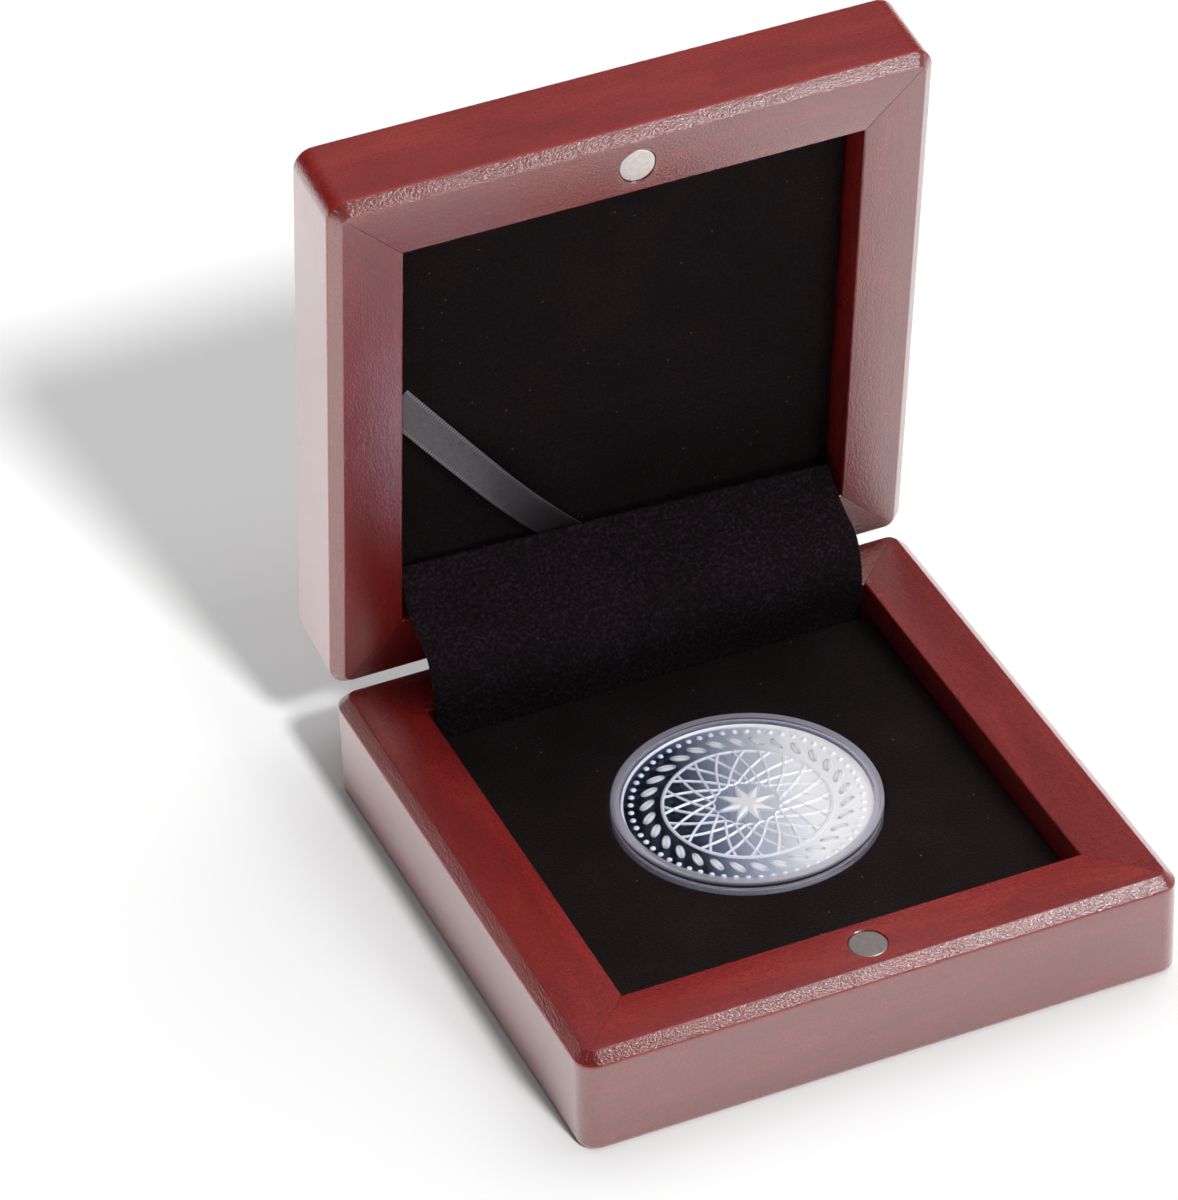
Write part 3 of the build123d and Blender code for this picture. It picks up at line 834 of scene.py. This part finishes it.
def buildLining():
    # Velvet over foam in the lid, worked out with the lid shut: rings from the middle out to a rolled edge, crowned
    # and set a little deeper towards the hinge, where the flap presses on it
    look = {
        "roll": 1.5 * mm,
        "crown": 0.2 * mm,
        "tilt": 0.7 * mm,
        "tiltFrom": -0.3,  # share of the half length
        "ripple": (0.06 * mm, 19 * mm),
        "across": 400,
        "rings": 48,
    }
    low, high = shutBox("lid_lining")
    roll, half = look["roll"], high[0] - look["roll"]
    a = np.linspace(0, 2 * math.pi, look["across"], endpoint=False)
    spoke = np.stack([np.cos(a), np.sin(a)], -1)
    edgeRadius = squareRadius(a, half, half)[:, None]
    share = np.linspace(0, 1, look["rings"])[:, None, None]
    outer = np.concatenate([arc((0, roll), roll, -90, 0, 10)[1:], [(roll, high[2] - low[2])]])
    plan = np.concatenate([share * edgeRadius * spoke, edgeRadius * spoke * (1 + outer[:, 0, None, None] / half)])
    x, y = plan[..., 0], plan[..., 1]
    deep = np.concatenate([np.zeros(look["rings"]), outer[:, 1]])[:, None] + 0 * x
    flat = np.clip(1 - (np.maximum(np.abs(x), np.abs(y)) / high[0]) ** 4, 0, 1)
    sag = look["tilt"] * np.maximum(y / high[0] - look["tiltFrom"], 0) - look["crown"] * flat
    deep = deep + flat * (sag + ripple(x, y, *look["ripple"]))
    grid = np.stack([x, y, low[2] + deep], -1)
    last = (len(grid) - 1) * len(a)
    faces = gridFaces(len(grid), len(a), wrapColumns=True) + [list(range(last, last + len(a)))]
    return dress(openPiece(newPiece("lid_lining_velvet", grid, faces)), velvetMaterial, "lid_lining", 60)


lidLining = buildLining()
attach(lidLining, "lid")


def smoothPath(points, count):
    # Catmull-Rom curve through the points, then spaced evenly along its length
    points = np.asarray(points, float)
    padded = np.concatenate([[2 * points[0] - points[1]], points, [2 * points[-1] - points[-2]]])
    t = np.linspace(0, 1, 24, endpoint=False)[:, None]
    p0, p1, p2, p3 = (padded[k:len(padded) - 3 + k, None] for k in range(4))
    curve = 0.5 * (2 * p1 + (p2 - p0) * t + (2 * p0 - 5 * p1 + 4 * p2 - p3) * t ** 2
                   + (3 * p1 - p0 - 3 * p2 + p3) * t ** 3)
    curve = np.concatenate([curve.reshape(-1, points.shape[1]), points[-1:]])
    length = np.concatenate([[0], np.cumsum(np.linalg.norm(np.diff(curve, axis=0), axis=1))])
    even = np.linspace(0, length[-1], count)
    return np.stack([np.interp(even, length, curve[:, k]) for k in range(curve.shape[1])], -1), length[-1]


def cloth(name, middle, thickness, reach):
    # Closed cloth round a middle grid: each face lies half the thickness off it, and the two draw together over the
    # last stretch to meet at the borders. Half thickness is h sqrt(1 - (1 - e) ^ 2), e being 0 at the border and 1
    # at reach.
    along, across = np.gradient(middle, axis=0), np.gradient(middle, axis=1)
    normal = np.cross(along, across)
    normal /= np.linalg.norm(normal, axis=-1, keepdims=True)
    rows, columns = middle.shape[:2]
    stepsU = np.concatenate([[0], np.cumsum(np.linalg.norm(np.diff(middle[:, columns // 2], axis=0), axis=-1))])
    stepsV = np.concatenate([[0], np.cumsum(np.linalg.norm(np.diff(middle[rows // 2], axis=0), axis=-1))])
    nearU, nearV = np.minimum(stepsU, stepsU[-1] - stepsU)[:, None], np.minimum(stepsV, stepsV[-1] - stepsV)[None]
    e = np.clip(np.minimum(nearU, nearV) / reach, 0, 1)
    half = (0.5 * thickness * np.sqrt(1 - (1 - e) ** 2))[..., None]
    points = np.concatenate([(middle + half * normal).reshape(-1, 3), (middle - half * normal).reshape(-1, 3)])
    front = np.array(gridFaces(rows, columns))
    faces = np.concatenate([front, front[:, ::-1] + rows * columns])
    return newPiece(name, points, faces.tolist())


def borderSpaced(length, reach, count):
    # Places from 0 to length that lie close together at both ends, five to the reach
    ends = reach * (1 - np.cos(np.linspace(0, math.pi / 2, 6)))
    return np.concatenate([ends[:-1], np.linspace(reach, length - reach, count), length - ends[-2::-1]])


def buildFlap():
    # Velvet strip glued behind the insert: it stands up against the rear rail, bulging forward a little, folds back
    # over the two rims and ends in front of the lid's lining, higher at its left end
    look = {
        "thickness": 0.8 * mm,
        "edgeReach": 0.45 * mm,
        "endShare": (1.0, 0.93),  # share of the path at the left and right ends
        "rise": (12 * mm, 26 * mm),  # heights between which the cloth waves
        "bulge": 0.35 * mm,
        "waves": ((1.0, 41 * mm), (0.35, 13 * mm)),  # share of the bulge and length of each
        "drawnIn": 0.25,
        "stations": (120, 110),  # along the path and across
        "path": np.array([
            (34.0, 4.3), (34.0, 11.8), (33.6, 17.0), (33.85, 20.6), (34.75, 23.6), (36.1, 25.35), (38.4, 26.4),
            (41.2, 27.95), (43.6, 30.0), (44.9, 32.2), (45.5, 34.3),
        ]) * mm,
    }
    low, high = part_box("hinge_flap")
    path, length = smoothPath(look["path"], 400)
    u = borderSpaced(length, look["edgeReach"], look["stations"][0])
    v = borderSpaced(high[0] - low[0], look["edgeReach"], look["stations"][1]) + low[0]
    side = (v - low[0]) / (high[0] - low[0])
    left, right = look["endShare"]
    place = u[:, None] * (left + (right - left) * side[None])
    even = np.linspace(0, length, len(path))
    y, z = np.interp(place, even, path[:, 0]), np.interp(place, even, path[:, 1])
    x = v[None] + 0 * z
    rise = np.clip((z - look["rise"][0]) / (look["rise"][1] - look["rise"][0]), 0, 1)
    wave = sum(share * ripple(x, z, look["bulge"], long) for share, long in look["waves"])
    y = y + 4 * rise * (1 - rise) * wave - look["drawnIn"] * rise * np.abs(wave)
    middle = np.stack([x, y, z], -1)
    return dress(cloth("hinge_flap_velvet", middle, look["thickness"], look["edgeReach"]), bentVelvetHighlitMaterial,
                 "hinge_flap", 60), length


hingeFlap, flapLength = buildFlap()
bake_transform(hingeFlap)


def buildRibbon():
    # Satin band drawn across a corner of the lining, worked out with the lid shut: it runs between its two tucked
    # ends, pulled a little aside at the rear one, off the lining midway and hollow across its width
    look = {
        "wide": 5.0 * mm,
        "thickness": 0.25 * mm,
        "edgeReach": 0.15 * mm,
        "sunk": 0.35 * mm,
        "lift": 0.6 * mm,
        "cup": 0.12 * mm,
        "twist": -0.8 * mm,
        "twistTurn": 2.6,  # radians from end to end
        "bend": 5.5 * mm,
        "bendFrom": 0.5,
        "sideEnd": (-34.0, -3.6),
        "rearEnd": (-6.4, 33.4),
        "stations": (90, 14),  # along and across
    }

    def aside(t):
        return look["bend"] * np.maximum(t - look["bendFrom"], 0) ** 2

    start, end = np.array(look["sideEnd"]) * mm, np.array(look["rearEnd"]) * mm
    length = np.linalg.norm(end - start)
    run = (end - start) / length
    across = np.array([-run[1], run[0]])
    u = borderSpaced(length, look["edgeReach"], look["stations"][0])
    v = borderSpaced(look["wide"], look["edgeReach"], look["stations"][1]) - look["wide"] / 2
    t, s = u[:, None] / length, v[None] / look["wide"]
    plan = start + u[:, None, None] * run + (v[None] - aside(t))[..., None] * across
    deep = shutBox("lid_lining")[0][2] - look["sunk"] - look["lift"] * np.sin(math.pi * t)
    deep = deep + look["cup"] * (1 - 4 * s ** 2) + look["twist"] * s * np.cos(look["twistTurn"] * t)
    piece = cloth("ribbon_satin", np.concatenate([plan, deep[..., None]], -1), look["thickness"], look["edgeReach"])
    points = meshPoints(piece)[:, :2] - start
    t = points @ run / length
    uv = np.stack([t * length, points @ across + aside(t)], -1) / mm
    corner = np.empty(len(piece.data.loops), int)
    piece.data.loops.foreach_get("vertex_index", corner)
    weave = piece.data.uv_layers.new(name="weave")
    weave.data.foreach_set("uv", uv[corner].astype(np.float32).ravel())
    openPiece(piece)
    return dress(piece, satinMaterial, "certificate_ribbon", 60), length


ribbonSatin, ribbonLength = buildRibbon()
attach(ribbonSatin, "lid")


print("magnets")


def buildMagnet(half):
    # Plated disc turned from a profile with a rounded edge
    look = {"edge": 0.22 * mm, "faceRing": 0.5, "across": 96}  # the ring in the face is a share of the radius
    low, high = halfBox(half, "{}_magnet")
    radius, middle = roundFit(low, high)
    edge, ring = look["edge"], look["faceRing"] * radius
    profile = np.concatenate([
        [(0, high[2]), (ring, high[2])], arc((radius - edge, high[2] - edge), edge, 90, 0, 6),
        arc((radius - edge, low[2] + edge), edge, 0, -90, 6), [(ring, low[2]), (0, low[2])],
    ])
    piece = lathe(f"{half}_magnet_disc", profile, middle, look["across"])
    if half == "lid":
        openPiece(piece)
    dress(piece, nickelMaterial, f"{half}_magnet")
    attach(piece, half)


for half in halves:
    buildMagnet(half)


print("capsule")

capsule = {
    "floor": 1.4 * mm, "wall": 0.6 * mm, "gap": 0.08 * mm, "edge": 0.45 * mm, "break": 0.12 * mm, "across": 160,
    "coinFit": 0.1 * mm, "wallSheen": 0.35,
}
coinLow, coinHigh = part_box("coin")
shellLow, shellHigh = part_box("capsule_lower_shell")
capLow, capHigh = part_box("capsule_upper_shell")
shellRadius, axis = roundFit(shellLow, shellHigh)
pocket = roundFit(coinLow, coinHigh)[0] + capsule["coinFit"]
dish = pocket + capsule["wall"]
bore = dish + capsule["gap"]


def dressShell(piece, node):
    # The roof's ring outside the coin gets the full painted lilac grey reflection, the walls only a share of it
    points = meshPoints(piece)
    away = np.hypot(points[:, 0] - axis[0], points[:, 1] - axis[1])
    ringSheen = np.where(points[:, 2] > capHigh[2] - capsule["edge"], 1.0, capsule["wallSheen"])
    setAttribute(piece, "ring", ringSheen * (away > pocket - capsule["coinFit"] / 2))
    return dress(piece, acrylicMaterial, node)


def buildLowerShell():
    # Floor disc with a rounded foot and an upright wall round the coin
    edge, small = capsule["edge"], capsule["break"]
    low, seat, top = shellLow[2], shellLow[2] + capsule["floor"], shellHigh[2]
    profile = np.concatenate([
        [(0, low), (pocket - small, low), (pocket, low)], arc((shellRadius - edge, low + edge), edge, -90, 0, 6),
        arc((shellRadius - small, seat - small), small, 0, 90, 4), [(dish + small, seat), (dish, seat + small)],
        arc((dish - small, top - small), small, 0, 90, 4), arc((pocket + small, top - small), small, 90, 180, 4),
        [(pocket, seat + small), (pocket - small, seat), (0, seat)],
    ])
    return dressShell(lathe("capsule_dish", profile, axis, capsule["across"]), "capsule_lower_shell")


def buildUpperShell():
    # Roof disc with a rounded edge and a skirt that presses over the dish's wall
    edge, small = capsule["edge"], capsule["break"]
    low, top, under = capLow[2], capHigh[2], capHigh[2] - capsule["floor"]
    profile = np.concatenate([
        [(0, top), (pocket - small, top), (pocket, top)], arc((shellRadius - edge, top - edge), edge, 90, 0, 6),
        arc((shellRadius - small, low + small), small, 0, -90, 4),
        arc((bore + small, low + small), small, -90, -180, 4),
        [(bore, under - small), (bore - small, under), (pocket, under), (pocket - small, under), (0, under)],
    ])
    return dressShell(lathe("capsule_cap", profile, axis, capsule["across"]), "capsule_upper_shell")


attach(buildLowerShell(), "capsule")
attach(buildUpperShell(), "capsule_cap")


print("coin")

coin = {
    "rimWidth": 0.5 * mm,
    "rimSlope": 0.25 * mm,
    "relief": 0.3 * mm,
    "frostFrom": 0.03 * mm,
    "frostRise": 0.05 * mm,
    # Height below which the foot of raised work gets painted shade
    "footShadeTop": 0.17 * mm,
    "edge": 0.15 * mm,
    "reed": 0.06 * mm,
    "reeds": 120,
    "starRadius": 5.4 * mm,
    "starWaist": 2.3 * mm,
    "starPoints": 8,
    "starSlope": 0.45,
    "starHeight": 1.2,  # heights are shares of the relief
    "netFrom": 4.6 * mm,
    "netTo": 11.7 * mm,
    "netLines": 20,
    "netTwist": 2.2,
    "netWidth": 0.42 * mm,
    "netHeight": 0.8,
    "lineInset": 6.0 * mm,
    "lineWidth": 0.5 * mm,
    "lineHeight": 0.7,
    "beadInset": 1.5 * mm,
    "beads": 60,
    "beadRadius": 0.4 * mm,
    "leafRing": 14.1 * mm,
    "leaves": 30,
    "leafHalf": (1.5 * mm, 0.6 * mm),
    "leafCrease": 0.3 * mm,
    "leafSlant": 38,
    "leafHeight": 0.8,
    "backFrost": 0.6,
    # Way across the coin towards which the painted sheen brightens
    "sheenTowards": (1.02, -0.24),  # right and a little to the front, in shares of the radius
    "hole": 0.02 * mm,
    "across": 720,
    "rings": 104,
    "rimRings": 8,
    "rimRingsInset": (1.5 * mm, 1.4 * mm),  # where the even rings end and those of the rim begin
}


def nearestCopy(a, count):
    # Angle to the nearest of count equal copies round the circle
    return ((a * count / (2 * math.pi) + 0.5) % 1 - 0.5) * 2 * math.pi / count


def dome(gap):
    # Round top: the root of 1 - gap where that is over 0
    return np.sqrt(np.clip(1 - gap, 0, 1))


def coinRelief(r, a, radius):
    # Height over the field, how far it is frosted and how near the foot of a raised shape it is, for every radius r
    # and angle a
    full = coin["relief"]
    rim = full * np.clip((r - (radius - coin["rimWidth"])) / coin["rimSlope"], 0, 1)
    line = full * coin["lineHeight"] * dome(((r - (radius - coin["lineInset"])) / (coin["lineWidth"] / 2)) ** 2)
    beadRing, turn = radius - coin["beadInset"], nearestCopy(a, coin["beads"])
    beadGap = r ** 2 + beadRing ** 2 - 2 * r * beadRing * np.cos(turn)
    bead = full * dome(beadGap / coin["beadRadius"] ** 2)
    # Star: in one folded point, height grows with the distance inside the line from tip to waist
    fold, halfStep = np.abs(nearestCopy(a, coin["starPoints"])), math.pi / coin["starPoints"]
    tip = np.array([coin["starRadius"], 0])
    waist = coin["starWaist"] * np.array([math.cos(halfStep), math.sin(halfStep)])
    edge = (waist - tip) / np.linalg.norm(waist - tip)
    inside = r * np.sin(fold) * edge[0] - (r * np.cos(fold) - tip[0]) * edge[1]
    star = np.clip(inside * coin["starSlope"], 0, full * coin["starHeight"]) * (inside > 0)
    # Leaves: slanted ellipses in a ring, with a crease along the middle
    turn, slant = nearestCopy(a, coin["leaves"]), math.radians(coin["leafSlant"])
    x, y = r * np.sin(turn), r * np.cos(turn) - coin["leafRing"]
    u, v = x * math.cos(slant) + y * math.sin(slant), y * math.cos(slant) - x * math.sin(slant)
    leaf = full * coin["leafHeight"] * dome((u / coin["leafHalf"][0]) ** 2 + (v / coin["leafHalf"][1]) ** 2)
    leaf = leaf * (0.5 + 0.5 * np.clip(np.abs(v) / coin["leafCrease"], 0, 1))
    # Engine-turned net: two families of spiral lines, the angle growing with the root of the radius, that cross
    share = np.clip((r - coin["netFrom"]) / (coin["netTo"] - coin["netFrom"]), 0, 1)
    wind = coin["netTwist"] * math.pi / coin["netLines"] * 2 * np.sqrt(share)
    gap = np.minimum(*(np.abs(nearestCopy(a + way * wind, coin["netLines"])) for way in (1, -1)))
    net = full * coin["netHeight"] * dome((r * gap / (coin["netWidth"] / 2)) ** 2)
    net = net * ((r > coin["netFrom"]) & (r < coin["netTo"]))
    height = np.maximum.reduce(np.broadcast_arrays(rim, line, bead, star, leaf, net))
    frost = np.clip((height - coin["frostFrom"]) / coin["frostRise"], 0, 1)
    return height, frost, frost * np.clip(1 - height / coin["footShadeTop"], 0, 1)


def buildCoin():
    # Polar grid over the upper face, reeded edge wall and plain lower face; z is the field's height plus relief
    radius, top, low = roundFit(coinLow, coinHigh)[0], coinHigh[2], coinLow[2]
    field, edge = top - coin["relief"], coin["edge"]
    a = np.linspace(0, 2 * math.pi, coin["across"], endpoint=False)[None]
    hole, (evenTo, rimFrom) = coin["hole"], radius - np.array(coin["rimRingsInset"])
    r = np.concatenate(
        [np.linspace(hole, evenTo, coin["rings"]), np.linspace(rimFrom, radius - edge, coin["rimRings"])]
    )
    height = coinRelief(r[:, None], a, radius)[0]
    wallR = np.array([radius, radius, radius - edge, 0.5 * radius, hole])[:, None]
    wallZ = np.array([top - edge, low + edge, low, low, low])[:, None]
    reeds = coin["reed"] * (0.5 - 0.5 * np.cos(a * coin["reeds"])) * np.array([1, 1, 0, 0, 0])[:, None]
    rings = np.concatenate([r[:, None] + 0 * a, wallR - reeds])
    z = np.concatenate([field + height, wallZ + 0 * a])
    grid = np.stack([axis[0] + rings * np.cos(a), axis[1] + rings * np.sin(a), z], -1)
    rows, columns = grid.shape[:2]
    ends = [list(range(columns)), list(range((rows - 1) * columns, rows * columns))]
    piece = newPiece("coin_struck", grid, gridFaces(rows, columns, wrapColumns=True) + ends)
    points = meshPoints(piece)
    x, y = points[:, 0] - axis[0], points[:, 1] - axis[1]
    frost, foot = coinRelief(np.hypot(x, y), np.arctan2(y, x), radius)[1:]
    upper = points[:, 2] > field - edge
    setAttribute(piece, "frost", np.where(upper, frost, coin["backFrost"]))
    setAttribute(piece, "foot", np.where(upper, foot, 0.0))
    setAttribute(piece, "satin", np.clip(np.stack([x, y], 1) @ coin["sheenTowards"] / radius + 0.5, 0, 1))
    return dress(piece, silverMaterial, "coin", 50)


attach(buildCoin(), "capsule")


print("carried-over nodes")

carriedOver = {
    "base_panel": plyMaterial,
    "insert_board": boardMaterial,
    "lid_pad": foamMaterial,
    "hinge_base_leaf": brassMaterial,
    "hinge_lid_leaf": brassMaterial,
    "hinge_pin": brassMaterial,
    "hinge_base_screws": brassMaterial,
    "hinge_lid_screws": brassMaterial,
}
for node, material in carriedOver.items():
    for materialSlot in frame["nodes"][node].material_slots:
        materialSlot.material = material


print("floor, light and camera")

studio = {
    "floorHalf": 6.0,
    "floorDrop": 0.02 * mm,
    "floorColour": "#b0b0b0",
    "floorGlossy": "#c5c5c5",  # the table as polished surfaces see it
    "floorBounce": "#a8a8a8",  # the table as a source of light for matt surfaces
    "sky": {"from": (0.36, 0.3, 0.88), "low": 0.11, "high": 3.8, "power": 4.5},
    "room": {"from": (0.3, -0.05, 0.95), "low": 0.01, "high": 1.1, "power": 24.0},  # as reflections show it
    "bevelLamp": {"place": (0.175, -0.25, 0.265), "size": 0.07, "power": 0.6},
    "tableLamp": {"from": (0.09, -0.75, 0.66), "glow": 5.5, "blur": 7.0},  # blur in degrees across
    "lowLamp": {"from": (0.24, -0.97, 0.28), "glow": 1.7, "blur": 9.0},
}


def buildFloor():
    # One large level face just under the case
    h = studio["floorHalf"]
    points = np.array([(-h, -h, 0), (h, -h, 0), (h, h, 0), (-h, h, 0)]) - [0, 0, studio["floorDrop"]]
    floor = newPiece("table_top", points, [[0, 1, 2, 3]], closed=False)
    material, tree = newMaterial("whiteTable")
    path = addNode(tree, "ShaderNodeLightPath")
    shade = studio["floorColour"]
    for ray, key in (("Is Glossy Ray", "floorGlossy"), ("Is Diffuse Ray", "floorBounce")):
        shade = mixColours(tree, path.outputs[ray], shade, studio[key])
    endMaterial(tree, addNode(tree, "ShaderNodeBsdfDiffuse", {"Color": shade}))
    floor.data.materials.append(material)
    return floor


def placeThing(data, *columns):
    # Object for a lamp or camera, from its three axes and its place
    holder = bpy.data.objects.new(data.name, data)
    bpy.context.scene.collection.objects.link(holder)
    holder.matrix_world = Matrix([*np.stack(columns, 1).tolist(), [0, 0, 0, 1]])
    return holder


def placeLamp(lamp, way, place):
    # A lamp that stands towards way and shines back along it
    side = np.cross([0, 0, 1], way)
    side /= np.linalg.norm(side)
    return placeThing(lamp, side, np.cross(way, side), way, place)


def buildBevelLamp():
    # Small lamp close by in front on the right, for the shine on the bevels alone
    look = studio["bevelLamp"]
    lamp = bpy.data.lights.new("bevelLamp", "AREA")
    lamp.energy, lamp.size = look["power"], look["size"]
    place = np.array(look["place"])
    holder = placeLamp(lamp, place / np.linalg.norm(place), place)
    holder.visible_diffuse = holder.visible_camera = holder.visible_transmission = False


def buildTableLamp(name, floor, blockers):
    # Distant lamp in front that only the table receives: it whitens the table, and the shadow of the blockers stays
    look = studio[name]
    lamp = bpy.data.lights.new(name, "SUN")
    lamp.energy, lamp.angle = look["glow"], math.radians(look["blur"])
    way = np.array(look["from"]) / np.linalg.norm(look["from"])
    holder = placeLamp(lamp, way, way)
    for role, things in (("receiver", [floor]), ("blocker", blockers)):
        group = bpy.data.collections.new(f"{name}_{role}")
        for thing in things:
            group.objects.link(thing)
        setattr(holder.light_linking, f"{role}_collection", group)


def buildWorld():
    # Pale surroundings, brighter towards one side: low + high times a power of the cosine to that side, with a
    # darker room for reflections; the background itself is white
    world = bpy.data.worlds.new("studio")
    world.use_nodes = True
    tree = world.node_tree
    tree.nodes.clear()
    ray = addNode(tree, "ShaderNodeLightPath").outputs
    way = addNode(tree, "ShaderNodeTexCoord").outputs["Generated"]

    def sideGlow(look):
        cosine = addNode(tree, "ShaderNodeVectorMath", {0: way, 1: look["from"]}, operation="DOT_PRODUCT")
        ahead = doMath(tree, "MAXIMUM", cosine.outputs["Value"], 0.0)
        return doMath(tree, "MULTIPLY_ADD", doMath(tree, "POWER", ahead, look["power"]), look["high"], look["low"])

    strength = mixValues(tree, ray["Is Glossy Ray"], sideGlow(studio["sky"]), sideGlow(studio["room"]))
    seen = doMath(tree, "MAXIMUM", ray["Is Camera Ray"], ray["Is Transmission Ray"])
    shown = mixValues(tree, seen, strength, 1.0)
    air = addNode(tree, "ShaderNodeBackground", {"Color": (1, 1, 1, 1), "Strength": shown})
    addNode(tree, "ShaderNodeOutputWorld", {"Surface": air.outputs[0]})
    bpy.context.scene.world = world


def buildCamera():
    # Long lens from the front left, 37 degrees above the table
    view = {
        "place": np.array([-289.431, -654.08, 588.614]) * mm,
        "right": (0.91659, -0.39862, -0.03103),
        "down": (-0.26296, -0.54254, -0.79781),
        "ahead": (0.30119, 0.73943, -0.60211),
        "focalShare": 6529.26 / 1200,  # focal length over the frame's height
    }
    sensor = 36.0
    camera = bpy.data.cameras.new("camera")
    camera.sensor_width = camera.sensor_height = sensor
    camera.sensor_fit = "VERTICAL"
    camera.lens = sensor * view["focalShare"]
    camera.clip_start, camera.clip_end = 0.01, 50
    bpy.context.scene.camera = placeThing(
        camera, view["right"], -np.array(view["down"]), -np.array(view["ahead"]), view["place"]
    )


pieces = [thing for thing in bpy.data.objects if thing.type == "MESH"]
table = buildFloor()
buildTableLamp("tableLamp", table, pieces)
buildTableLamp("lowLamp", table, [piece for piece in pieces if piece.name.startswith("base_")])
buildBevelLamp()
buildWorld()
buildCamera()
bpy.context.scene.view_settings.view_transform = "Standard"
